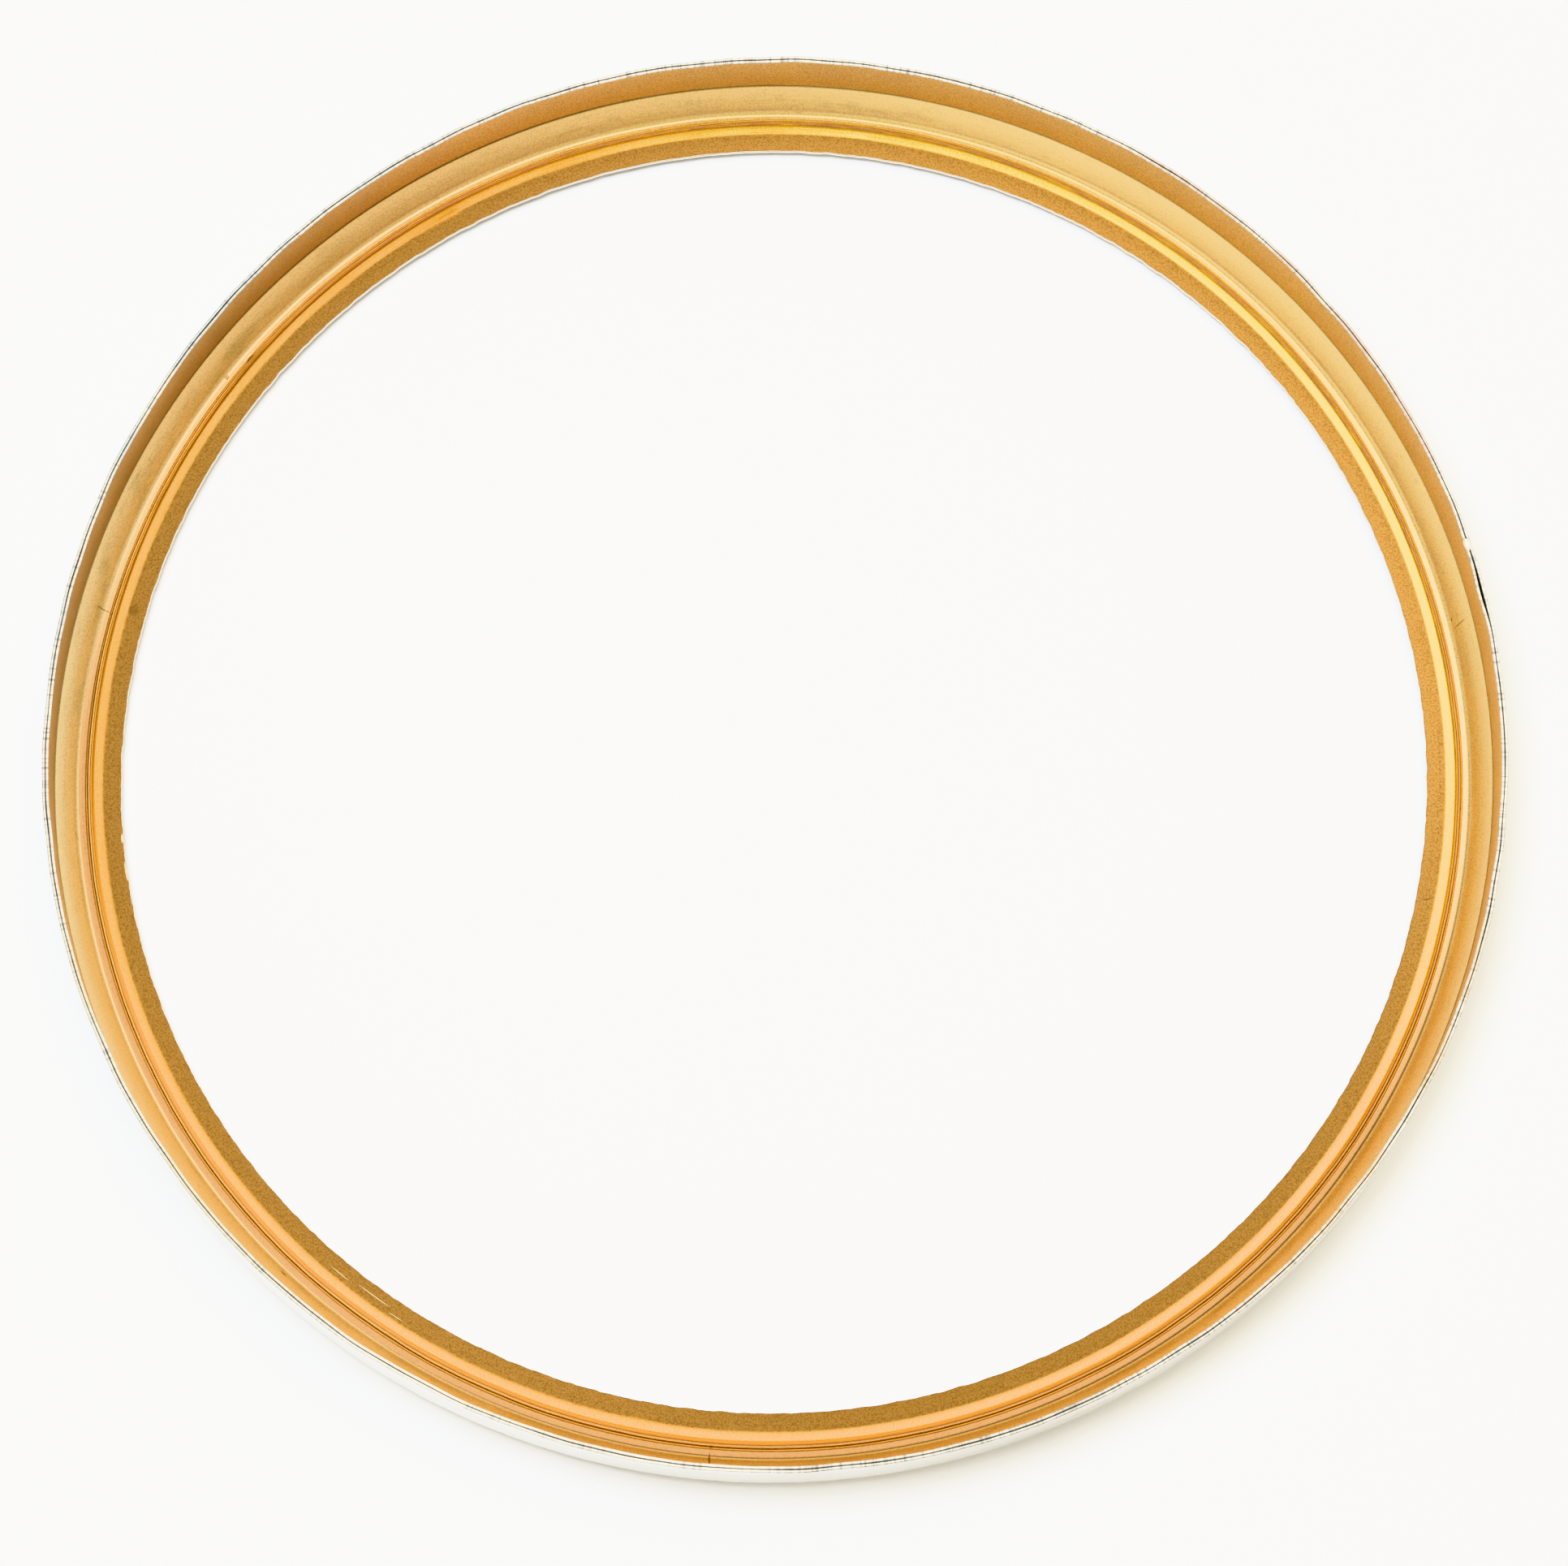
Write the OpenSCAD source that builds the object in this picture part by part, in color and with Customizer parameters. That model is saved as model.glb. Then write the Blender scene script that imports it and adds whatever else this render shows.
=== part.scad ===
// Pressed metal ring frame, lying with its open side up.
// A bright outer shell and a gold inner liner are pressed together as one nested pair,
// so both follow the same profile: a tall skirt, a sloping flange, a narrow flat-bottomed
// groove that the ring rests on, a step, and a nearly flat lip round the open centre.
// One tack of solder joins the two cut edges at the rim.

/* [Ring] */
// Outside diameter of the ring
ring_d = 150; // [120:1:300]
// Height from the resting face to the rim
ring_h = 10.2; // [8:0.1:14]

/* [Sheet metal] */
// Thickness of the bright outer shell
shell_t = 0.33; // [0.2:0.01:0.4]
// Thickness of the gold inner liner
liner_t = 0.33; // [0.2:0.01:0.4]
// Inside radius of the pressed bends
bend_r = 0.3; // [0.2:0.05:0.35]

/* [Pressed profile] */
// Width of the flange that slopes up from the groove to the skirt
flange_w = 2.1; // [2:0.1:8]
// Height of the fold between the flange and the skirt, above the groove floor
fold_rise = 2.7; // [1.5:0.1:4]
// Radius of the bend at the foot of the flange
foot_r = 0.8; // [0.4:0.1:1]
// Width of the groove floor, its bends included
floor_w = 0.9; // [0.7:0.05:2]
// Width of the step from the groove floor up to the lip
step_w = 0.38; // [0.38:0.01:0.8]
// Width of the lip round the open centre
lip_w = 3.27; // [2:0.01:8]
// Rise from the groove floor to the top of the step
step_rise = 0.7; // [0.7:0.05:0.8]
// Rise from the groove floor to the edge of the open centre
lip_rise = 0.9; // [0.85:0.05:1.2]

/* [Solder tack] */
// Place of the tack round the ring, anticlockwise from +X
tack_angle = 11.5; // [0:0.5:359.5]
// Length of the tack along the rim
tack_length = 1.2; // [0.8:0.1:3]
// Height of the tack above the rim
tack_crown = 0.12; // [0.05:0.01:0.2]

/* [Hidden] */

$fn = 96;
bend_steps = 6;
sheet_t = shell_t + liner_t;
skirt_r = ring_d / 2 - sheet_t;

// Corners of the gold surface as [radius, height], from the rim to the open centre.
rim_corner = [skirt_r, ring_h];
fold_corner = [skirt_r, sheet_t + fold_rise];
flange_foot = [skirt_r - flange_w, sheet_t];
step_foot = flange_foot - [floor_w, 0];
step_top = step_foot + [-step_w, step_rise];
hole_corner = [step_top.x - lip_w, sheet_t + lip_rise];
corners = [rim_corner, fold_corner, flange_foot, step_foot, step_top, hole_corner];

// Radius of each bend on the gold side. The step's top bulges to that side, so the sheet's
// whole thickness comes on top of its inside radius.
bends = [0, bend_r, foot_r, bend_r, bend_r + sheet_t, 0];
hole_r = hole_corner.x;

function direction(a, b) = (b - a) / norm(b - a);

// Direction d turned a quarter turn, towards the bright side.
function bright_side(d) = [-d.y, d.x];

// A point on the line through corners i and i + 1, once that line moves t towards the bright side.
function moved_point(i, t) = corners[i] + t * bright_side(direction(corners[i], corners[i + 1]));

function cross2(u, v) = u.x * v.y - u.y * v.x;

// Where the line through p along u meets the line through q along v.
function crossing(p, u, q, v) = p + u * cross2(q - p, v) / cross2(u, v);

// Corner i of the surface that lies t below the gold one. The rim is cut square to the ring's
// axis and the edge of the open centre is cut along it.
function moved_corner(i, t) =
    i == 0 ? [rim_corner.x + t, ring_h] :
    i == len(corners) - 1 ?
        crossing(moved_point(i - 1, t), direction(corners[i - 1], corners[i]),
                 [hole_r, 0], [0, 1]) :
    crossing(moved_point(i - 1, t), direction(corners[i - 1], corners[i]),
             moved_point(i, t), direction(corners[i], corners[i + 1]));

// The corner b of a path a, b, c as an arc of radius r.
function rounded(a, b, c, r) =
    let(
        u = direction(b, a),
        v = direction(b, c),
        half = acos(u * v) / 2,
        middle = b + direction([0, 0], u + v) * r / sin(half),
        start = b + u * r / tan(half) - middle,
        turn = sign(cross2(u, v)) * (180 - 2 * half)
    )
    [for (k = [0:bend_steps])
        let(w = -turn * k / bend_steps)
        middle + [start.x * cos(w) - start.y * sin(w), start.x * sin(w) + start.y * cos(w)]];

// The same bend t below the gold surface: wider where the bright side bulges, tighter elsewhere.
function bend_sign(i) =
    sign(cross2(direction(corners[i - 1], corners[i]), direction(corners[i], corners[i + 1])));
function bend_at(i, t) = bends[i] - bend_sign(i) * t;

// The whole surface t below the gold one, bends rounded.
function surface_path(t) =
    let(p = [for (i = [0:len(corners) - 1]) moved_corner(i, t)])
    [
        p[0],
        for (i = [1:len(p) - 2]) each rounded(p[i - 1], p[i], p[i + 1], bend_at(i, t)),
        p[len(p) - 1]
    ];

function reversed(list) = [for (i = [len(list) - 1:-1:0]) list[i]];

// A sheet between two depths below the gold surface, turned round the ring's axis.
module pressed_sheet(from, to) {
    rotate_extrude()
        polygon(concat(surface_path(from), reversed(surface_path(to))));
}

module outer_shell() {
    color("gainsboro")
        pressed_sheet(liner_t, sheet_t);
}

module inner_liner() {
    color("goldenrod")
        pressed_sheet(0, liner_t);
}

// A low bead of solder that lies across both cut edges and stays clear of the wall inside.
module rim_solder_tack() {
    tack_turn = tack_length / skirt_r * 180 / PI;
    color("silver")
        rotate([0, 0, tack_angle - tack_turn / 2])
        rotate_extrude(angle = tack_turn)
        polygon([
            [skirt_r + sheet_t * 0.1, ring_h],
            [skirt_r + sheet_t * 0.2, ring_h + tack_crown * 0.8],
            [skirt_r + sheet_t * 0.5, ring_h + tack_crown],
            [skirt_r + sheet_t * 0.8, ring_h + tack_crown * 0.8],
            [skirt_r + sheet_t * 0.9, ring_h]
        ]);
}

outer_shell();
inner_liner();
rim_solder_tack();
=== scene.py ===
"""Looks for the pressed ring: a gold liner nested in a bright shell, with one solder tack."""
import math
import bmesh
import bpy
import numpy as np
from mathutils import Euler, Matrix, Vector


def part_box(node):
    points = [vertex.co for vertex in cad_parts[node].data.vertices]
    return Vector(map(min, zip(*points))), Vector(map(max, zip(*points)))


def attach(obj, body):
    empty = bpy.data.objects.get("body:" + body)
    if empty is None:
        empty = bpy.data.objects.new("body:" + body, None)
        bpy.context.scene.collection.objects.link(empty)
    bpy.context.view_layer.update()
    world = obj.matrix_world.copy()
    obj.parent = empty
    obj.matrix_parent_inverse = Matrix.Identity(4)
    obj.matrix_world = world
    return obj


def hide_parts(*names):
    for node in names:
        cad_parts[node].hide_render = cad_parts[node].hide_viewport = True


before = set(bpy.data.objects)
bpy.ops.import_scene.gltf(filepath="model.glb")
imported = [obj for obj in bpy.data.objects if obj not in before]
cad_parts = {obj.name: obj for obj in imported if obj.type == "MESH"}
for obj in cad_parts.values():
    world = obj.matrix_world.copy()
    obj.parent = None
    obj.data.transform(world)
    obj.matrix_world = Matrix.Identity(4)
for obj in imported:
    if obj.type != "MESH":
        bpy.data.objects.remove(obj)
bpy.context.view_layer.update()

MM = 0.001

# ---------------------------------------------------------------- sizes, in millimetres
shell_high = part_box("outer_shell")[1]
liner_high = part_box("inner_liner")[1]
RING_R = shell_high.x / MM
RIM_Z = shell_high.z / MM
SHELL_T = (shell_high.x - liner_high.x) / MM
# both sheets are equally thick
LINER_T = SHELL_T
SHEET_T = SHELL_T + LINER_T
SKIRT_R = RING_R - SHEET_T

# The pressed profile, with the names and values of the CAD part.
FLANGE_W = 2.1
FOLD_RISE = 2.7
FOOT_R = 0.8
FLOOR_W = 0.9
STEP_W = 0.38
LIP_W = 3.27
STEP_RISE = 0.7
LIP_RISE = 0.9
BEND_R = 0.3
ARC_STEPS = 40

# How the real ring strays from that profile: the rim leans to one side and the ring is a little
# three-cornered, with ripples in the skirt, the cut edges and the step.
RIM_LEAN = 0.2
RIM_LEAN_ANGLE = 350
OUT_OF_ROUND = 0.08
OUT_OF_ROUND_TURN = 32
SKIRT_RIPPLE = 0.04
SHELL_RIPPLE = 0.015
STEP_RIPPLE = 0.02
LEAN_FROM_Z = 2.0
RIM_ZONE = 1.6
RIM_CUT_ZONE = 0.12
RIM_CUT_DEPTH = 0.04
HOLE_ZONE = 0.4
HOLE_RIPPLE = 0.035
HOLE_LIFT = 0.015
LIP_RELIEF = 0.105
SHEET_GAP = 0.008

# The open slot between the two sheets: where it is widest, how far it reaches in degrees, its width.
SLOT_ANGLE = 7.6
SLOT_REACH = 2.3
SLOT_WIDTH = 0.17

# Random lines round the ring: seed, shortest and longest wavelength in millimetres, number of waves.
SKIRT_WAVE = (3, 6, 60, 14)
GAP_WAVE = (5, 8, 40, 14)
SHELL_WAVE = (6, 8, 40, 14)
CUT_WAVES = {"liner": (11, 0.8, 5, 30), "shell": (12, 0.8, 5, 30)}
HOLE_WAVE = (21, 0.9, 7, 30)
HOLE_LIFT_WAVE = (22, 1.2, 9, 20)
STEP_WAVE = (24, 3, 30, 14)
LIP_WAVE = (31, 3, 30, 20)

# Small jogs in the edge of the matt lip: angle, how far the edge moves and its tail in degrees.
LIP_JOGS = ((6.2, 0.16, 1.0), (42.0, -0.2, 0.5), (77.0, -0.22, 1.6), (114.0, 0.24, 1.8), (253.0, 0.1, 2.0))
LIP_STRAY = 0.035
JOG_START = 0.12

# A cut edge: the radius of its rounded corners, and its outline as (along the path, share of that radius).
EDGE_CORNER = 0.08
EDGE_FALL = ((-0.06, 0.0), (-0.02, 0.3), (0.0, 0.9))

# The solder bead: half its size along the radius, round the ring and upwards, and how deep it sits.
BEAD_HALF = (0.32, 0.75, 0.2)
BEAD_SINK = 0.06
BEAD_LUMPS = 7
LUMP_PITCH = 2.6
LUMP_HEIGHT = 0.035

# ---------------------------------------------------------------- the profile


def profile_corners():
    """Corners of the gold surface as (radius, height), from the open centre to the rim."""
    flange_foot = SKIRT_R - FLANGE_W
    step_foot = flange_foot - FLOOR_W
    step_top = step_foot - STEP_W
    return [
        np.array(p)
        for p in (
            (step_top - LIP_W, SHEET_T + LIP_RISE),
            (step_top, SHEET_T + STEP_RISE),
            (step_foot, SHEET_T),
            (flange_foot, SHEET_T),
            (SKIRT_R, SHEET_T + FOLD_RISE),
            (SKIRT_R, RIM_Z),
        )
    ]


def unit(v):
    return v / np.linalg.norm(v)


def arc(before, corner, after, radius):
    """The corner as a run of points on an arc of that radius."""
    u, v = unit(before - corner), unit(after - corner)
    half = math.acos(float(np.clip(u @ v, -1, 1))) / 2
    middle = corner + unit(u + v) * radius / math.sin(half)
    start = corner + u * radius / math.tan(half) - middle
    turn = -np.sign(u[0] * v[1] - u[1] * v[0]) * (math.pi - 2 * half)
    points = []
    for k in range(ARC_STEPS + 1):
        w = turn * k / ARC_STEPS
        c, s = math.cos(w), math.sin(w)
        points.append(middle + np.array([start[0] * c - start[1] * s, start[0] * s + start[1] * c]))
    return points


def gold_path():
    """The gold surface with its bends rounded, as a dense polyline."""
    c = profile_corners()
    radii = [BEND_R + SHEET_T, BEND_R, FOOT_R, BEND_R]
    points = [c[0]]
    for k in range(1, len(c) - 1):
        points += arc(c[k - 1], c[k], c[k + 1], radii[k - 1])
    points.append(c[-1])
    return np.array(points)


PATH = gold_path()
PATH_S = np.concatenate([[0], np.cumsum(np.linalg.norm(np.diff(PATH, axis=0), axis=1))])
PATH_LENGTH = float(PATH_S[-1])


def on_path(s):
    return np.stack([np.interp(s, PATH_S, PATH[:, k]) for k in (0, 1)], -1)


def path_at(s, depth):
    """Points on the sheet, s along the gold surface and depth below it."""
    s = np.asarray(s, float)
    step = 0.01
    here = on_path(s)
    d = on_path(np.minimum(s + step, PATH_LENGTH)) - on_path(np.maximum(s - step, 0))
    d /= np.linalg.norm(d, axis=1)[:, None]
    normal = np.stack([d[:, 1], -d[:, 0]], -1)
    return here + normal * np.asarray(depth, float).reshape(-1, 1)


def along(corner):
    """How far along the gold surface a point of the profile lies."""
    return float(PATH_S[np.argmin(np.linalg.norm(PATH - np.array(corner), axis=1))])


# Places along the gold surface, from the open centre: the end of the matt lip, then each corner.
CORNERS = profile_corners()
S_MATT = 1.93
S_STEP = along(CORNERS[1])
S_FOOT = along(CORNERS[2])
S_FLANGE = along(CORNERS[3])
S_FOLD = along(CORNERS[4])

# ---------------------------------------------------------------- slow shapes round the ring

STEPS_ROUND = 1500
THETA = np.arange(STEPS_ROUND) / STEPS_ROUND * 2 * math.pi


def wander(seed, shortest, longest, waves):
    """A smooth random line round the ring, about -1 to 1. Wavelengths are in millimetres."""
    rng = np.random.default_rng(seed)
    total = np.zeros(STEPS_ROUND)
    for _ in range(waves):
        wavelength = math.exp(rng.uniform(math.log(shortest), math.log(longest)))
        count = max(1, round(2 * math.pi * RING_R / wavelength))
        total += np.cos(count * THETA + rng.uniform(0, 2 * math.pi))
    return total / math.sqrt(waves)


def gap_from(angle):
    """Degrees round the ring from an angle, -180 to 180."""
    return (np.degrees(THETA) - angle + 180) % 360 - 180


def hump(angle, half_width):
    """1 at an angle round the ring and 0 away from it, in degrees."""
    return np.exp(-((gap_from(angle) / half_width) ** 2))


def notch(angle, tail):
    """1 just past an angle, falling to 0 over a tail of that many degrees; it starts sharply."""
    gap = gap_from(angle)
    return np.exp(-np.abs(gap) / np.where(gap > 0, tail, JOG_START))


def smooth(low, high, x):
    t = np.clip((np.asarray(x, float) - low) / (high - low), 0, 1)
    return t * t * (3 - 2 * t)


def rim_lean():
    """How far the rim stands off its centre, and towards where."""
    return RIM_LEAN * np.cos(THETA - math.radians(RIM_LEAN_ANGLE))


def out_of_round():
    """How far the whole ring bulges, in three places round it."""
    return OUT_OF_ROUND * np.cos(3 * (THETA + math.radians(OUT_OF_ROUND_TURN)))


def lip_shift():
    """How far the edge of the matt lip moves round the ring."""
    shift = LIP_STRAY * wander(*LIP_WAVE)
    for angle, move, tail in LIP_JOGS:
        shift = shift + move * notch(angle, tail)
    return shift


# ---------------------------------------------------------------- meshes


def grid_mesh(name, rings, across, edge, seam):
    """A closed tube of quads round the ring. Each of the rings is one line of the section."""
    count = len(rings)
    co = np.concatenate(rings) * MM
    k = np.arange(count)
    j = np.arange(STEPS_ROUND)
    nk, nj = (k + 1) % count, (j + 1) % STEPS_ROUND
    a = (k[:, None] * STEPS_ROUND + j[None, :]).ravel()
    b = (nk[:, None] * STEPS_ROUND + j[None, :]).ravel()
    c = (nk[:, None] * STEPS_ROUND + nj[None, :]).ravel()
    d = (k[:, None] * STEPS_ROUND + nj[None, :]).ravel()
    faces = np.stack([a, b, c, d], -1)
    mesh = bpy.data.meshes.new(name)
    mesh.vertices.add(len(co))
    mesh.vertices.foreach_set("co", co.astype(np.float32).ravel())
    mesh.loops.add(faces.size)
    mesh.loops.foreach_set("vertex_index", faces.astype(np.int32).ravel())
    mesh.polygons.add(len(faces))
    mesh.polygons.foreach_set("loop_start", np.arange(0, faces.size, 4, dtype=np.int32))
    mesh.update(calc_edges=True)
    values = {
        "across": np.repeat(across, STEPS_ROUND),
        "edge": np.repeat(edge, STEPS_ROUND),
        "seam": np.repeat(seam, STEPS_ROUND),
        "shift": np.tile(lip_shift(), count),
    }
    for label, numbers in values.items():
        attribute = mesh.attributes.new(label, "FLOAT", "POINT")
        attribute.data.foreach_set("value", np.asarray(numbers, np.float32))
    mesh.shade_smooth()
    mesh.validate()
    piece = bpy.data.objects.new(name, mesh)
    bpy.context.scene.collection.objects.link(piece)
    return piece


# Where the section needs more lines: centre, reach to each side and spacing.
DENSE_RUNS = (
    (0.0, 0.2, 0.05),
    (S_FLANGE, 0.5, 0.07),
    (S_FOLD, 0.24, 0.04),
    (PATH_LENGTH, 0.3, 0.06),
)
CLOSEST_LINES = 0.03
LAST_LINE = 0.05

# Fine lines left by the press tool: place, width and height above the gold surface.
SCORES = (
    (S_STEP + 0.02, 0.07, -0.035),
    (S_STEP + 0.26, 0.06, 0.03),
    (S_FOLD, 0.06, -0.05),
    (S_FOLD + 0.27, 0.06, 0.04),
)


def section_steps():
    """Places along the gold surface, close together at each bend and at both cut edges."""
    runs = [
        np.arange(0, S_STEP - 0.6, 0.2),
        np.arange(S_STEP - 0.6, S_FLANGE, 0.06),
        np.arange(S_FLANGE, S_FOLD, 0.2),
        np.arange(S_FOLD, PATH_LENGTH, 0.45),
    ]
    for centre, reach, pitch in DENSE_RUNS:
        runs.append(np.arange(centre - reach, centre + reach, pitch))
    s = np.unique(np.round(np.concatenate(runs), 3))
    s = s[(s >= 0) & (s <= PATH_LENGTH - LAST_LINE)]
    keep = [s[0]]
    for value in s[1:]:
        if value - keep[-1] > CLOSEST_LINES:
            keep.append(value)
    return np.array(keep)


def scored(s):
    """Relief left by the press tool on the gold side: fine lines in the step and at the fold."""
    relief = np.zeros_like(s)
    for place, width, height in SCORES:
        relief = relief + height * np.exp(-(((s - place) / width) ** 2))
    return relief


def bend_round(r, z, s, layer):
    """Real metal isn't quite round: what each line of the section does round the ring."""
    height = smooth(LEAN_FROM_Z, RIM_Z, z)
    radius = r + out_of_round() + height * rim_lean() + SKIRT_RIPPLE * height**2 * wander(*SKIRT_WAVE)
    lift = z + np.zeros(STEPS_ROUND)

    near_rim = smooth(RIM_Z - RIM_ZONE, RIM_Z, z)
    if layer == "liner":
        slot = SLOT_WIDTH * hump(SLOT_ANGLE, SLOT_REACH)
        radius = radius - near_rim * (slot + SHEET_GAP * (1 + wander(*GAP_WAVE)))
    else:
        radius = radius + near_rim * SHELL_RIPPLE * wander(*SHELL_WAVE)
    top = smooth(RIM_Z - RIM_CUT_ZONE, RIM_Z, z)
    lift = lift - top * RIM_CUT_DEPTH * np.abs(wander(*CUT_WAVES[layer]))

    near_hole = 1 - smooth(0.0, HOLE_ZONE, s)
    radius = radius + near_hole * HOLE_RIPPLE * wander(*HOLE_WAVE)
    lift = lift + near_hole * HOLE_LIFT * wander(*HOLE_LIFT_WAVE)

    on_lip = np.exp(-(((s - S_MATT) / 0.3) ** 2))
    lift = lift + on_lip * LIP_RELIEF * (lip_shift() - lip_shift().mean())
    on_step = np.exp(-(((s - S_STEP - 0.2) / 0.4) ** 2))
    radius = radius + on_step * STEP_RIPPLE * wander(*STEP_WAVE)
    return np.stack([radius * np.cos(THETA), radius * np.sin(THETA), lift], -1)


def pressed_piece(name, top_depth, low_depth, layer):
    """One sheet of the pair: its upper face, its rounded rim edge, its lower face and its hole edge."""
    s = section_steps()
    low_s = s[::2]
    corner = EDGE_CORNER
    rim = PATH_LENGTH
    relief = scored(s) if layer == "liner" else 0.0
    upper = path_at(s, top_depth - relief)
    lower = path_at(low_s, low_depth)
    middle = (top_depth + low_depth) / 2
    flat = (top_depth + 1.5 * corner, middle, low_depth - 1.5 * corner)
    rim_side = [(rim + a, top_depth + corner * b, 1.0) for a, b in EDGE_FALL]
    rim_side += [(rim, depth, 0.0) for depth in flat]
    rim_side += [(rim + a, low_depth - corner * b, 1.0) for a, b in reversed(EDGE_FALL)]
    rim_points = np.array([path_at([a], [b])[0] for a, b, _ in rim_side])
    upper_share, lower_share = (0.0, 1.0) if layer == "liner" else (1.0, 0.4)
    shares = [upper_share if depth < middle else lower_share for _, depth, _ in rim_side]
    seam_rim = np.array([flag * share for (_, _, flag), share in zip(rim_side, shares)])
    hole_point = path_at([0.0], [middle])
    hole_point[:, 0] = upper[0, 0]
    lower[0, 0] = upper[0, 0]
    section = np.concatenate([upper, rim_points, lower[::-1], hole_point])
    across = np.concatenate([s, np.full(len(rim_points), rim), low_s[::-1], [0.0]])
    upper_edge, lower_edge = (smooth(rim - 0.1, rim - 0.04, line) for line in (s, low_s[::-1]))
    edge = np.concatenate([upper_edge, np.ones(len(rim_points)), lower_edge, [0.8]])
    seam = np.concatenate([np.zeros(len(s)), seam_rim, np.zeros(len(low_s) + 1)])
    rings = [bend_round(r, z, a, layer) for (r, z), a in zip(section, across)]
    return grid_mesh(name, rings, across, edge, seam)


# ---------------------------------------------------------------- materials


class Net:
    """A short way to write a material's nodes."""

    def __init__(self, name):
        self.material = bpy.data.materials.new(name)
        self.material.use_nodes = True
        self.tree = self.material.node_tree
        self.tree.nodes.clear()
        self.shader = self.add("BsdfPrincipled")
        output = self.add("OutputMaterial")
        self.tree.links.new(self.shader.outputs["BSDF"], output.inputs["Surface"])

    def add(self, kind, **settings):
        node = self.tree.nodes.new("ShaderNode" + kind)
        for key, value in settings.items():
            setattr(node, key, value)
        return node

    def put(self, socket, value):
        if isinstance(value, bpy.types.NodeSocket):
            self.tree.links.new(value, socket)
        elif isinstance(value, (tuple, list)) and len(value) == 3 and socket.type == "RGBA":
            socket.default_value = (*value, 1)
        else:
            socket.default_value = value

    def math(self, operation, a, b=0.0):
        node = self.add("Math", operation=operation)
        for k, value in enumerate((a, b)):
            self.put(node.inputs[k], value)
        return node.outputs[0]

    def step(self, low, high, value):
        """0 where the value is low and 1 where it is high, with a smooth change between."""
        node = self.add("MapRange", interpolation_type="SMOOTHSTEP")
        for k, v in enumerate((value, low, high, 0.0, 1.0)):
            self.put(node.inputs[k], v)
        return node.outputs[0]

    def mix(self, share, a, b, blend="MIX"):
        node = self.add("Mix", data_type="RGBA", blend_type=blend)
        self.put(node.inputs[0], share)
        self.put(node.inputs[6], a)
        self.put(node.inputs[7], b)
        return node.outputs[2]

    def ramp(self, value, stops):
        node = self.add("ValToRGB")
        node.color_ramp.interpolation = "LINEAR"
        elements = node.color_ramp.elements
        while len(elements) < len(stops):
            elements.new(0.5)
        for element, (place, colour) in zip(elements, stops):
            element.position = place
            element.color = (*colour, 1)
        self.put(node.inputs[0], value)
        return node.outputs[0]

    def noise(self, vector, scale, detail=3.0, roughness=0.55):
        node = self.add("TexNoise")
        self.put(node.inputs["Vector"], vector)
        node.inputs["Scale"].default_value = scale
        node.inputs["Detail"].default_value = detail
        node.inputs["Roughness"].default_value = roughness
        return node.outputs["Fac"]

    def attribute(self, name):
        return self.add("Attribute", attribute_name=name).outputs["Fac"]

    def bump(self, height, strength, distance):
        node = self.add("Bump")
        node.inputs["Strength"].default_value = strength
        node.inputs["Distance"].default_value = distance
        self.put(node.inputs["Height"], height)
        return node.outputs["Normal"]

    def surface(self, **values):
        for key, value in values.items():
            self.put(self.shader.inputs[key.replace("_", " ")], value)


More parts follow.
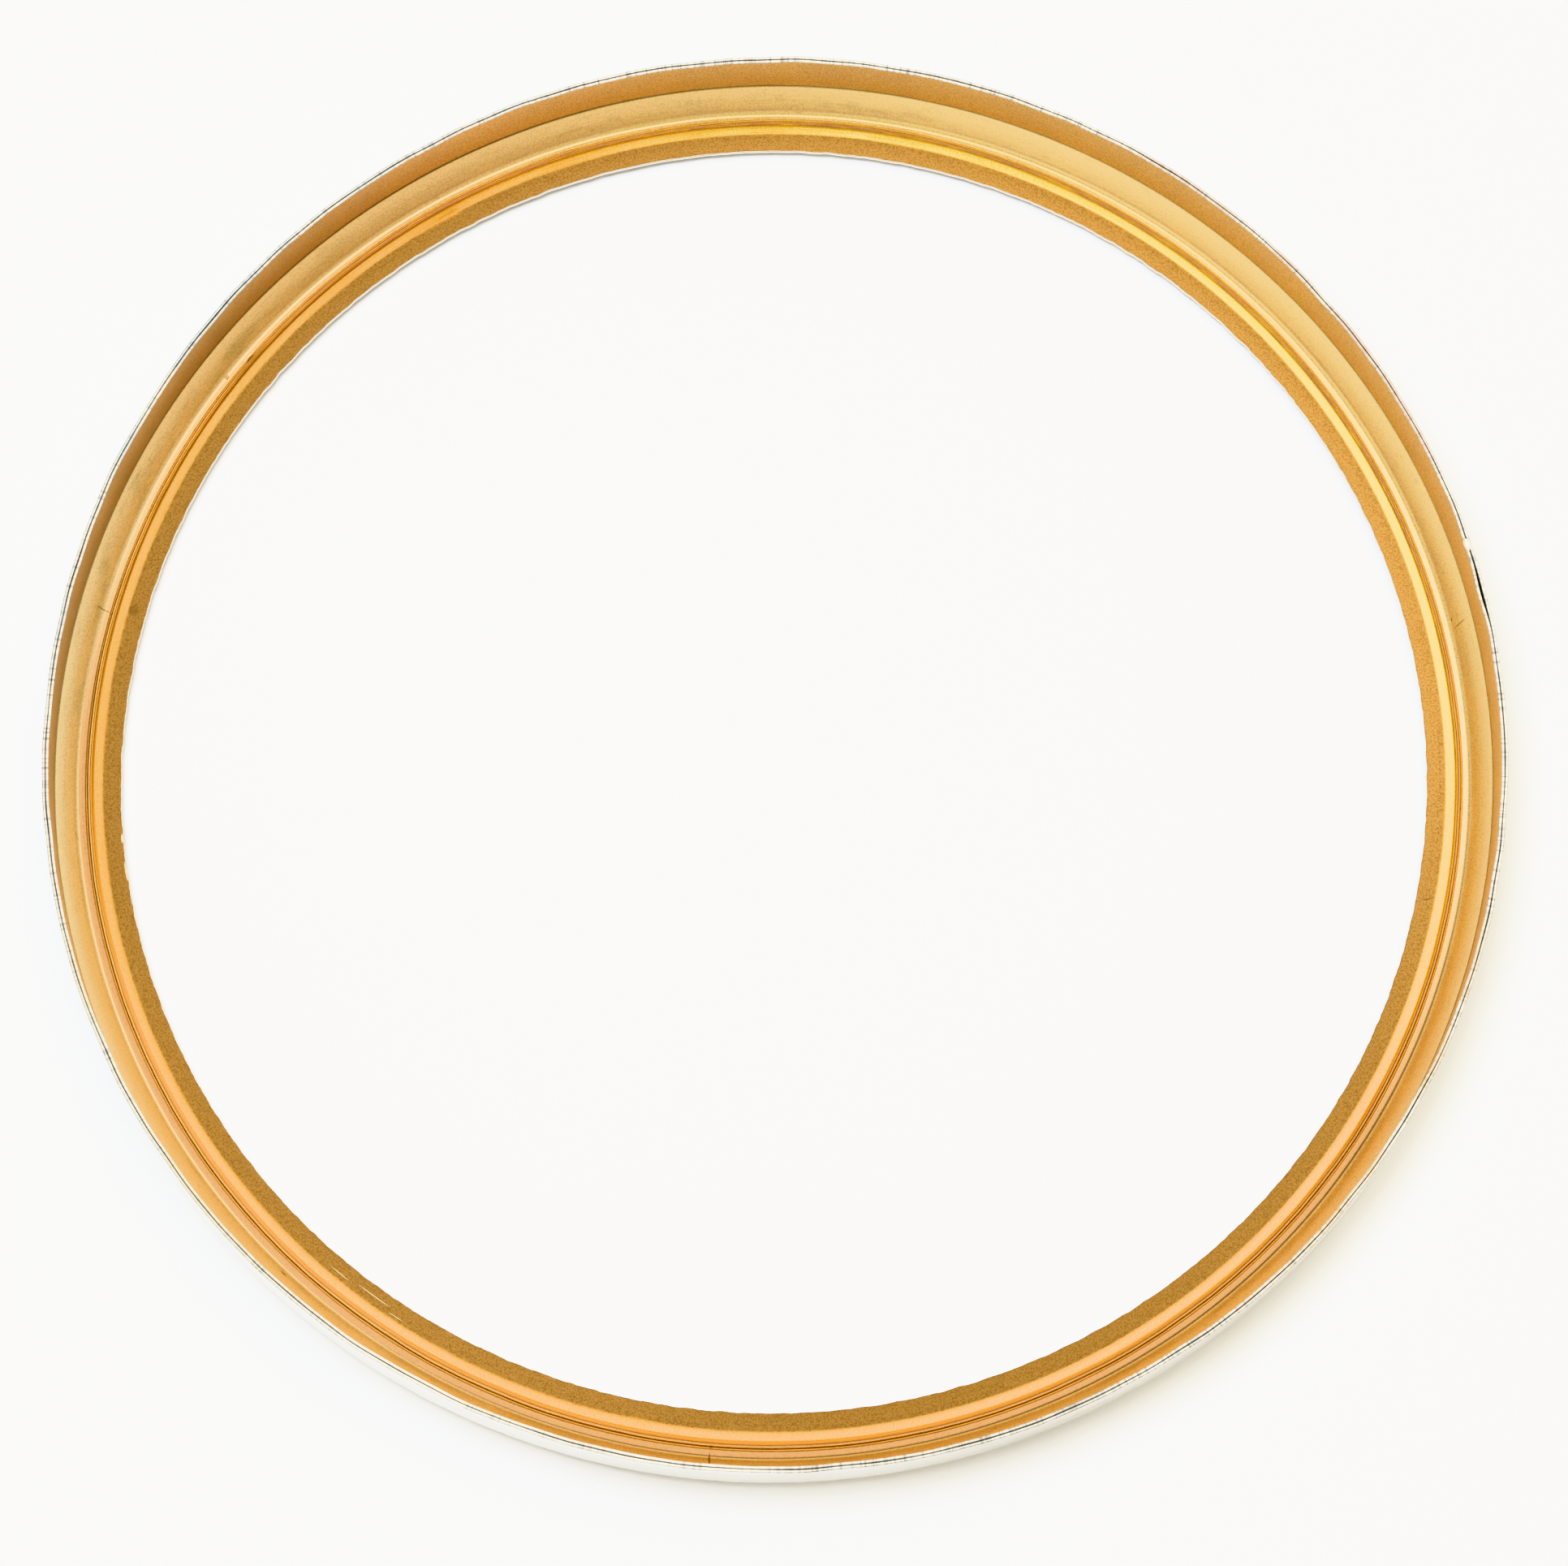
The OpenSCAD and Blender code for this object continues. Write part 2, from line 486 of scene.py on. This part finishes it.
class RingNet(Net):
    """A material that knows where it is on the ring: its angle and its place across the section."""

    def __init__(self, name):
        super().__init__(name)
        self.place = self.add("TexCoord").outputs["Object"]
        split = self.add("SeparateXYZ")
        self.put(split.inputs[0], self.place)
        self.x, self.y = split.outputs[0], split.outputs[1]
        self.angle = self.math("ARCTAN2", self.y, self.x)
        squares = [self.math("POWER", value, 2.0) for value in (self.x, self.y)]
        self.radius = self.math("SQRT", self.math("ADD", *squares))
        self.across = self.attribute("across")
        self.edge = self.attribute("edge")
        self.seam = self.attribute("seam")

    def streaks(self, round_mm, across_mm, detail=3.0, roughness=0.55):
        """Noise drawn out round the ring: round_mm long and across_mm wide."""
        join = self.add("CombineXYZ")
        for k, v in enumerate((self.x, self.y)):
            scaled = self.math("MULTIPLY", self.math("DIVIDE", v, self.radius), RING_R / round_mm)
            self.put(join.inputs[k], scaled)
        self.put(join.inputs[2], self.math("DIVIDE", self.across, across_mm))
        return self.noise(join.outputs[0], 1.0, detail, roughness)

    def near_angle(self, angle, half_width, full=0.0):
        """1 within full degrees of an angle, falling to 0 at half_width away."""
        turned = self.math("SUBTRACT", self.angle, math.radians(angle))
        cosine = self.math("COSINE", turned)
        return self.step(math.cos(math.radians(half_width)), math.cos(math.radians(full)), cosine)

    def between(self, low, high, soft):
        """1 between two places along the gold surface, with edges that soft wide."""
        up = self.step(low - soft, low + soft, self.across)
        down = self.step(high - soft, high + soft, self.across)
        return self.math("MULTIPLY", up, self.math("SUBTRACT", 1.0, down))

    def both(self, *masks):
        result = masks[0]
        for mask in masks[1:]:
            result = self.math("MULTIPLY", result, mask)
        return result

    def either(self, *masks):
        result = masks[0]
        for mask in masks[1:]:
            result = self.math("MAXIMUM", result, mask)
        return result

    def paint(self, base, colour, *masks):
        """The base with a colour over it, as strongly as all the masks multiplied."""
        return self.mix(self.both(*masks), base, colour)

    def darken(self, base, tint, *masks):
        """The base multiplied by a tint, as strongly as all the masks multiplied."""
        return self.mix(self.both(*masks), base, self.mix(1.0, base, tint, "MULTIPLY"))

    def sum_of(self, start, *parts):
        """The start value plus each mask times its amount."""
        result = start
        for mask, amount in parts:
            result = self.math("ADD", result, self.both(mask, amount))
        return result

    def at_hole(self):
        """1 at the edge of the open centre, gone a little way into the lip."""
        return self.step(0.6, 0.1, self.across)

    def mark(self, angle, across, half_round, half_across, slant=0.0):
        """A mark at a place on the ring. Half sizes are in millimetres; slant leans it round the ring."""
        turned = self.math("SUBTRACT", self.angle, math.radians(angle))
        down = self.math("SUBTRACT", self.across, across)
        round_mm = self.math("MULTIPLY", self.math("SINE", turned), RING_R)
        leaning = self.math("SUBTRACT", round_mm, self.math("MULTIPLY", down, slant))
        join = self.add("CombineXYZ")
        self.put(join.inputs[0], self.math("DIVIDE", leaning, half_round))
        self.put(join.inputs[1], self.math("DIVIDE", down, half_across))
        length = self.add("VectorMath", operation="LENGTH")
        self.put(length.inputs[0], join.outputs[0])
        inside = self.math("SUBTRACT", 1.0, self.step(0.5, 1.0, length.outputs["Value"]))
        return self.both(inside, self.step(0.5, 0.6, self.math("COSINE", turned)))


# Colours of the gold side, by zone from the open centre to the rim.
LIP_GOLD = (0.38, 0.22, 0.075)
BAND_GOLD = (1.0, 0.52, 0.085)
STEP_GOLD = (0.75, 0.62, 0.46)
# painted shade: dark lines along the top of the step, its foot and the fold
CREASE_SHADE_BROWN = (0.15, 0.06, 0.02)
# painted highlight: a thin pink line in the step
GLINT_PINK = (0.72, 0.48, 0.32)
FLANGE_GOLD = (1.0, 0.72, 0.35)
SKIRT_GOLD = (0.86, 0.66, 0.40)

# Painted light and shade round the ring, by side.
# painted highlights for the far right
HIGHLIT_BAND = (1.0, 0.80, 0.16)
HIGHLIT_FLANGE = (1.0, 0.82, 0.40)
HIGHLIT_LIP = (0.62, 0.37, 0.12)
# painted shade for the lip on the near side
SHADED_NEAR_LIP = (0.30, 0.17, 0.055)
# painted shade with some tarnish for the band and flange on the left
SHADED_TARNISHED_BAND = (0.62, 0.38, 0.14)
SHADED_TARNISHED_FLANGE = (0.62, 0.42, 0.20)
# painted shade for the skirt on the left
SHADED_SKIRT = (0.46, 0.36, 0.24)
# painted reflection colours for the flange on the left and the near side
LEFT_FLANGE_REFLECTION = (0.88, 0.80, 0.50)
NEAR_FLANGE_REFLECTION = (0.91, 0.71, 0.35)

# Painted highlights and painted shade in the groove, the step and the fold; then tarnish, grain and marks.
# painted highlight on the groove floor
GROOVE_HIGHLIGHT_GOLD = (1.0, 0.78, 0.34)
# painted highlight along the fold
FOLD_GLINT = (1.0, 0.92, 0.84)
# painted shade on the groove floor on the near side
SHADED_GROOVE = (0.26, 0.13, 0.055)
# painted highlight: a thin pinkish line along the step
STEP_HIGHLIGHT = (1.0, 0.76, 0.62)
# painted shade in the step on the far side
STEP_SHADE = (0.50, 0.33, 0.33)
GREEN_TARNISH = (0.55, 0.46, 0.20)
GREY_TARNISH = (0.60, 0.46, 0.27)
FRECKLE_BROWN = (0.50, 0.30, 0.12)
GRAIN_TINT = (0.42, 0.36, 0.30)
ROLLED_TINT = (0.55, 0.45, 0.38)
DARK_MARK = (0.16, 0.08, 0.03)
BRIGHT_MARK = (0.92, 0.84, 0.66)

# The bare metals.
SHELL_BRIGHT = (0.76, 0.75, 0.71)
SHELL_HAZE = (0.66, 0.65, 0.61)
CUT_DARK = (0.27, 0.27, 0.27)
CUT_BRIGHT = (0.74, 0.74, 0.72)
HOLE_EDGE = (1.0, 0.96, 0.85)
SEAM_DARK = (0.12, 0.11, 0.09)
SOLDER_BRIGHT = (1.0, 0.99, 0.95)
SOLDER_DULL = (0.78, 0.77, 0.72)
FLOOR_GREYS = ((0.80, 0.80, 0.80), (0.82, 0.82, 0.82))

# Marks on the gold: angle, place across the section, half length round the ring, half width and slant.
DARK_MARKS = (
    (7.0, 6.2, 0.09, 1.1, 0.25),
    (7.6, 5.2, 0.3, 0.12, 0.0),
    (161.2, 5.0, 0.09, 1.1, -0.15),
    (136.0, 4.0, 0.7, 0.28, 0.0),
    (138.5, 4.6, 0.35, 0.18, 0.0),
    (260.0, 5.4, 0.16, 1.3, 0.1),
    (343.0, 1.1, 0.12, 0.5, 0.5),
    (222.0, 5.6, 0.5, 0.15, 0.8),
)
BRIGHT_MARKS = (
    (225.5, 1.3, 1.6, 0.04, 0.0),
    (229.0, 1.0, 2.6, 0.045, 0.0),
    (231.5, 1.5, 1.2, 0.035, 0.0),
    (230.4, S_STEP + 0.3, 0.35, 0.12, 0.0),
    (246.4, S_STEP + 0.3, 0.25, 0.1, 0.0),
    (346.0, S_FOLD + 3.0, 0.35, 0.5, 0.4),
    (181.5, 0.1, 0.7, 0.14, 0.0),
    (184.5, 0.08, 1.4, 0.1, 0.0),
)
# A fainter round patch on the lip, in line with the mark at 161 degrees.
LIP_PATCH = (160.8, 1.4, 0.8, 0.8)
LIP_PATCH_SHARE = 0.6

# Tints of the cut edges by patch: angle, half width in degrees, colour and share.
CUT_TINTS = (
    (35, 26, (0.48, 0.31, 0.22), 0.55),
    (135, 55, (0.34, 0.40, 0.45), 0.6),
    (203, 25, (0.66, 0.60, 0.45), 0.5),
    (247, 26, (1.0, 1.0, 0.98), 0.7),
    (286, 9, (0.24, 0.25, 0.23), 0.6),
    (322, 26, (0.62, 0.47, 0.26), 0.5),
)


def gold_zones(net):
    """The colour of each zone of the gold side, from the open centre to the rim, with painted shade along
    the creases and a painted highlight in the step.
    """
    only_lip = net.step(S_MATT + 0.8, S_MATT + 0.3, net.across)
    moved = net.math("ADD", net.across, net.math("MULTIPLY", net.attribute("shift"), only_lip))
    place = net.math("DIVIDE", moved, PATH_LENGTH)
    stops = [
        (0.0, LIP_GOLD),
        (S_MATT - 0.2, LIP_GOLD),
        (S_MATT + 0.4, BAND_GOLD),
        (S_STEP - 0.1, BAND_GOLD),
        # painted shade: a dark line at the top of the step
        (S_STEP + 0.02, CREASE_SHADE_BROWN),
        (S_STEP + 0.14, STEP_GOLD),
        # painted highlight: a thin pink line in the step
        (S_STEP + 0.27, GLINT_PINK),
        (S_STEP + 0.4, STEP_GOLD),
        # painted shade: a dark line at the foot of the step
        (S_FOOT - 0.2, CREASE_SHADE_BROWN),
        (S_FOOT - 0.06, FLANGE_GOLD),
        (S_FOLD - 0.2, FLANGE_GOLD),
        # painted shade: a dark line along the fold
        (S_FOLD - 0.08, CREASE_SHADE_BROWN),
        (S_FOLD + 0.08, CREASE_SHADE_BROWN),
        (S_FOLD + 0.2, SKIRT_GOLD),
    ]
    return net.ramp(place, [(s / PATH_LENGTH, colour) for s, colour in stops])


def paint_light_by_side(net, base, lip, band, flange, skirt):
    """Painted light and shade round the ring: highlights on the far right, shade with some tarnish on the
    left, and shade and reflection colours on the near side.
    """
    highlit_side = net.near_angle(40, 80)
    shaded_tarnished_side = net.near_angle(150, 55)
    # painted highlights on the band, flange and lip on the far right
    base = net.paint(base, HIGHLIT_BAND, highlit_side, band, 0.9)
    base = net.paint(base, HIGHLIT_FLANGE, highlit_side, flange, 0.6)
    base = net.paint(base, HIGHLIT_LIP, highlit_side, lip, 0.45)
    # painted shade on the lip on the near side
    base = net.paint(base, SHADED_NEAR_LIP, net.near_angle(300, 60), lip, 0.8)
    # painted shade on the band and flange on the left, mixed with some tarnish
    base = net.paint(base, SHADED_TARNISHED_BAND, shaded_tarnished_side, band, 0.6)
    base = net.paint(base, SHADED_TARNISHED_FLANGE, shaded_tarnished_side, flange, 0.25)
    # painted shade on the skirt on the left
    base = net.paint(base, SHADED_SKIRT, net.near_angle(155, 45), skirt, 0.95)
    # painted reflection colours on the flange on the left and the near side
    base = net.paint(base, LEFT_FLANGE_REFLECTION, net.near_angle(205, 70), flange, 0.8)
    return net.paint(base, NEAR_FLANGE_REFLECTION, net.near_angle(285, 55), flange, 0.8)


def painted_groove_light(net, base):
    """Painted highlights and painted shade in the groove, the step and the fold."""
    # painted highlight on the groove floor on the far side, and a short painted highlight in dashes along
    # the fold
    highlit_floor = net.between(S_FOOT - 0.1, S_FLANGE + 0.12, 0.1)
    base = net.paint(base, GROOVE_HIGHLIGHT_GOLD, net.near_angle(62, 66), highlit_floor, 0.85)
    dashes = net.step(0.42, 0.55, net.streaks(7.0, 9.0, 2.0))
    fold_line = net.between(S_FOLD + 0.22, S_FOLD + 0.34, 0.04)
    base = net.paint(base, FOLD_GLINT, net.near_angle(76, 26), fold_line, dashes)

    # painted shade on the groove floor on the near side, and a thin pinkish painted highlight along the
    # step
    near_side = net.near_angle(248, 118, 72)
    shaded_floor = net.between(S_FOOT - 0.02, S_FLANGE, 0.08)
    base = net.paint(base, SHADED_GROOVE, near_side, shaded_floor, 0.92)
    step_line = net.between(S_STEP + 0.24, S_STEP + 0.36, 0.04)
    base = net.paint(base, STEP_HIGHLIGHT, near_side, step_line, 0.5)

    # painted shade: a wide purple-brown dark band in the step on the far side, broken into clouds
    shaded_step = net.both(net.near_angle(65, 85, 40), net.between(S_STEP - 0.3, S_FOOT - 0.08, 0.12))
    cloud = net.step(0.3, 0.6, net.streaks(3.0, 0.5, 3.0))
    return net.paint(base, STEP_SHADE, shaded_step, cloud, 0.85)


def tarnish_masks(net):
    """Where the flange is greenish, on the left, and where it is mottled grey-brown, at the top."""
    patch = net.streaks(5.0, 1.6, 4.0, 0.62)
    left = net.between(S_FLANGE + 0.3, S_FOLD - 0.6, 0.5)
    top = net.between(S_FLANGE + 0.6, S_FOLD - 1.0, 0.5)
    green = net.both(net.near_angle(148, 34), left, net.step(0.46, 0.68, patch))
    grey = net.both(net.near_angle(90, 30), top, net.step(0.45, 0.7, patch))
    return green, grey


def gold_material():
    net = RingNet("gold_liner")
    lip = net.between(-1.0, S_MATT, 0.15)
    band = net.between(S_MATT, S_STEP, 0.12)
    flange = net.between(S_FOOT + 0.1, S_FOLD, 0.15)
    upper_flange = net.between(S_FLANGE + 0.1, S_FOLD, 0.15)
    skirt = net.step(S_FOLD, S_FOLD + 0.2, net.across)

    base = paint_light_by_side(net, gold_zones(net), lip, band, flange, skirt)
    base = painted_groove_light(net, base)
    green, grey = tarnish_masks(net)
    freckles = net.step(0.6, 0.78, net.streaks(1.6, 0.9, 4.0, 0.65))
    base = net.paint(base, GREEN_TARNISH, green, 0.45)
    base = net.paint(base, GREY_TARNISH, grey, 0.35)
    base = net.paint(base, FRECKLE_BROWN, flange, freckles, 0.35)

    # grain, and rolling marks drawn out round the ring
    grain = net.noise(net.place, 5200.0, 3.0, 0.75)
    rolled = net.streaks(12.0, 0.07, 3.0)
    grain_share = net.sum_of(0.35, (net.either(lip, skirt), 0.3))
    base = net.darken(base, GRAIN_TINT, net.step(0.4, 0.66, grain), grain_share)
    base = net.darken(base, ROLLED_TINT, net.step(0.5, 0.72, rolled), 0.22)

    lip_patch = net.both(net.mark(*LIP_PATCH), LIP_PATCH_SHARE)
    dark = net.either(lip_patch, *[net.mark(*place) for place in DARK_MARKS])
    bright = net.either(*[net.mark(*place) for place in BRIGHT_MARKS])
    base = net.paint(base, DARK_MARK, dark, 0.7)
    base = net.paint(base, BRIGHT_MARK, bright, 0.8)
    base = net.mix(net.edge, base, cut_metal(net))

    rough = net.sum_of(
        0.18,
        (lip, 0.32),
        (upper_flange, 0.18),
        (skirt, 0.17),
        (net.either(green, grey), 0.15),
        (net.edge, 0.1),
    )
    height = net.sum_of(net.both(grain, 0.5), (rolled, 0.5), (dark, -1.2))
    net.surface(Base_Color=base, Metallic=1.0, Roughness=rough, Normal=net.bump(height, 0.35, 0.00003))
    return net.material


def cut_metal(net):
    """The colour of a cut edge: bright metal with scratches straight across it and tints by patch."""
    nicks = net.streaks(0.4, 3.0, 3.0, 0.75)
    patches = net.step(0.38, 0.62, net.streaks(6.0, 8.0, 3.0))
    silver = net.mix(net.step(0.30, 0.60, nicks), CUT_DARK, CUT_BRIGHT)
    for angle, reach, colour, share in CUT_TINTS:
        silver = net.paint(silver, colour, net.near_angle(angle, reach), patches, share)
    silver = net.paint(silver, HOLE_EDGE, net.at_hole())
    return net.paint(silver, SEAM_DARK, net.seam, 0.6)


def bright_material():
    net = RingNet("bright_shell")
    hazy = net.step(0.4, 0.7, net.streaks(20.0, 1.5, 4.0))
    fine = net.streaks(10.0, 0.06, 2.0)
    base = net.mix(hazy, SHELL_BRIGHT, SHELL_HAZE)
    base = net.mix(net.edge, base, cut_metal(net))
    hole_edge = net.both(net.edge, net.at_hole())
    rough = net.sum_of(0.16, (hazy, 0.1), (net.edge, 0.2), (hole_edge, 0.4))
    net.surface(Base_Color=base, Metallic=1.0, Roughness=rough, Normal=net.bump(fine, 0.2, 0.00002))
    return net.material


def solder_material():
    net = Net("solder")
    place = net.add("TexCoord").outputs["Object"]
    spots = net.noise(place, 4500.0, 3.0)
    base = net.mix(net.step(0.4, 0.7, spots), SOLDER_BRIGHT, SOLDER_DULL)
    net.surface(Base_Color=base, Metallic=1.0, Roughness=0.35, Normal=net.bump(spots, 0.4, 0.00004))
    return net.material


def floor_material():
    net = Net("pale_floor")
    place = net.add("TexCoord").outputs["Object"]
    base = net.mix(net.noise(place, 30.0), *FLOOR_GREYS)
    net.surface(Base_Color=base, Roughness=0.75)
    return net.material


# ---------------------------------------------------------------- the pieces


def add_pressed_pair():
    liner = pressed_piece("gold_liner", 0.0, LINER_T, "liner")
    liner.data.materials.append(gold_material())
    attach(liner, "root")
    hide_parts("inner_liner")
    shell = pressed_piece("bright_shell", LINER_T, SHEET_T, "shell")
    shell.data.materials.append(bright_material())
    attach(shell, "root")
    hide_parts("outer_shell")


def add_solder_tack():
    low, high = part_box("rim_solder_tack")
    centre = (low + high) / 2
    angle = math.atan2(centre.y, centre.x)
    mesh = bmesh.new()
    bmesh.ops.create_icosphere(mesh, subdivisions=4, radius=1.0)
    rng = np.random.default_rng(41)
    lumps = [(rng.normal(size=3), rng.uniform(0, 6.28)) for _ in range(BEAD_LUMPS)]
    for v in mesh.verts:
        lump = sum(math.sin(LUMP_PITCH * v.co.dot(Vector(d)) + p) for d, p in lumps) * LUMP_HEIGHT
        v.co *= 1 + lump
        v.co = Vector([value * half for value, half in zip(v.co, BEAD_HALF)]) * MM
    data = bpy.data.meshes.new("solder_bead")
    mesh.to_mesh(data)
    mesh.free()
    data.shade_smooth()
    r = (RING_R - SHEET_T / 2) * MM
    place = Vector((r * math.cos(angle), r * math.sin(angle), (RIM_Z - BEAD_SINK) * MM))
    data.transform(Matrix.Translation(place) @ Euler((0, 0, angle)).to_matrix().to_4x4())
    bead = bpy.data.objects.new("solder_bead", data)
    bpy.context.scene.collection.objects.link(bead)
    data.materials.append(solder_material())
    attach(bead, "root")
    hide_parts("rim_solder_tack")


# ---------------------------------------------------------------- floor, light and camera


# The floor stays this far below the ring, in millimetres, so that the two faces never coincide.
FLOOR_GAP = 0.02


def add_floor():
    bpy.ops.mesh.primitive_plane_add(size=4, location=(0, 0, -FLOOR_GAP * MM))
    floor = bpy.context.object
    floor.name = "pale_floor"
    floor.data.materials.append(floor_material())


def upward(tilt, azimuth):
    """The direction that leans off upright by the tilt, towards the azimuth. Both are in degrees."""
    t, a = math.radians(tilt), math.radians(azimuth)
    return Vector((math.cos(a) * math.sin(t), math.sin(a) * math.sin(t), math.cos(t)))


def sky_glow(tree, tilt, azimuth, inner, outer, colour):
    """A soft bright area of the room, all angles in degrees: full inside inner and gone at outer."""
    direction = tree.nodes.new("ShaderNodeTexCoord").outputs["Generated"]
    dot = tree.nodes.new("ShaderNodeVectorMath")
    dot.operation = "DOT_PRODUCT"
    tree.links.new(direction, dot.inputs[0])
    dot.inputs[1].default_value = upward(tilt, azimuth)
    share = tree.nodes.new("ShaderNodeMapRange")
    share.interpolation_type = "SMOOTHSTEP"
    tree.links.new(dot.outputs["Value"], share.inputs[0])
    share.inputs[1].default_value = math.cos(math.radians(outer))
    share.inputs[2].default_value = math.cos(math.radians(inner))
    glow = tree.nodes.new("ShaderNodeBackground")
    glow.inputs["Color"].default_value = (*colour, 1)
    tree.links.new(share.outputs[0], glow.inputs["Strength"])
    return glow.outputs[0]


# Brighter areas of the room, in degrees: tilt off upright, azimuth, full within, gone beyond; then colour.
GLOWS = (
    (22.7, 48.6, 12, 34, (2.8, 2.7, 2.5)),
    (11.2, 153, 3, 12, (1.2, 1.15, 1.0)),
    (48, 42, 8, 24, (1.3, 1.3, 1.2)),
    (76, 218, 8, 50, (0.6, 0.6, 0.58)),
)
ROOM_COLOUR = (0.85, 0.78, 0.61)


def add_room():
    """A warm, softly lit room: bright high on the far right, weaker overhead, lower down and near left."""
    world = bpy.data.worlds.new("studio")
    world.use_nodes = True
    tree = world.node_tree
    background = tree.nodes["Background"]
    background.inputs["Color"].default_value = (*ROOM_COLOUR, 1)
    light = background.outputs[0]
    for glow in GLOWS:
        total = tree.nodes.new("ShaderNodeAddShader")
        tree.links.new(light, total.inputs[0])
        tree.links.new(sky_glow(tree, *glow), total.inputs[1])
        light = total.outputs[0]
    tree.links.new(light, tree.nodes["World Output"].inputs["Surface"])
    bpy.context.scene.world = world


def add_light():
    """One soft box almost overhead, a little to the far left. It casts the shadow and isn't mirrored."""
    azimuth, tilt, distance = 158, 13, 1.2
    lamp = bpy.data.lights.new("soft_box", "AREA")
    lamp.shape = "DISK"
    lamp.size = 0.55
    lamp.energy = 18.5
    lamp.color = (0.80, 0.86, 1.0)
    soft_box = bpy.data.objects.new("soft_box", lamp)
    bpy.context.scene.collection.objects.link(soft_box)
    place = upward(tilt, azimuth)
    soft_box.location = place * distance
    soft_box.rotation_euler = place.to_track_quat("Z", "Y").to_euler()
    soft_box.visible_glossy = False


def add_camera():
    """Steeply down from the near side, a few degrees off upright."""
    elevation, side, roll = math.radians(75.2), math.radians(2.5), math.radians(2.5)
    distance, lens = 0.65, 143.7
    target = Vector((0.98, -1.52, 0.0)) * MM
    level = math.cos(elevation)
    back = Vector((-math.sin(side) * level, -math.cos(side) * level, math.sin(elevation)))
    data = bpy.data.cameras.new("camera")
    data.lens = lens
    data.sensor_width = 36.0
    camera = bpy.data.objects.new("camera", data)
    bpy.context.scene.collection.objects.link(camera)
    camera.location = target + back * distance
    turn = back.to_track_quat("Z", "Y").to_matrix() @ Matrix.Rotation(-roll, 3, "Z")
    camera.rotation_euler = turn.to_euler()
    bpy.context.scene.camera = camera


add_camera()
add_room()
add_light()
add_floor()
add_pressed_pair()
add_solder_tack()
bpy.context.scene.view_settings.view_transform = "Khronos PBR Neutral"
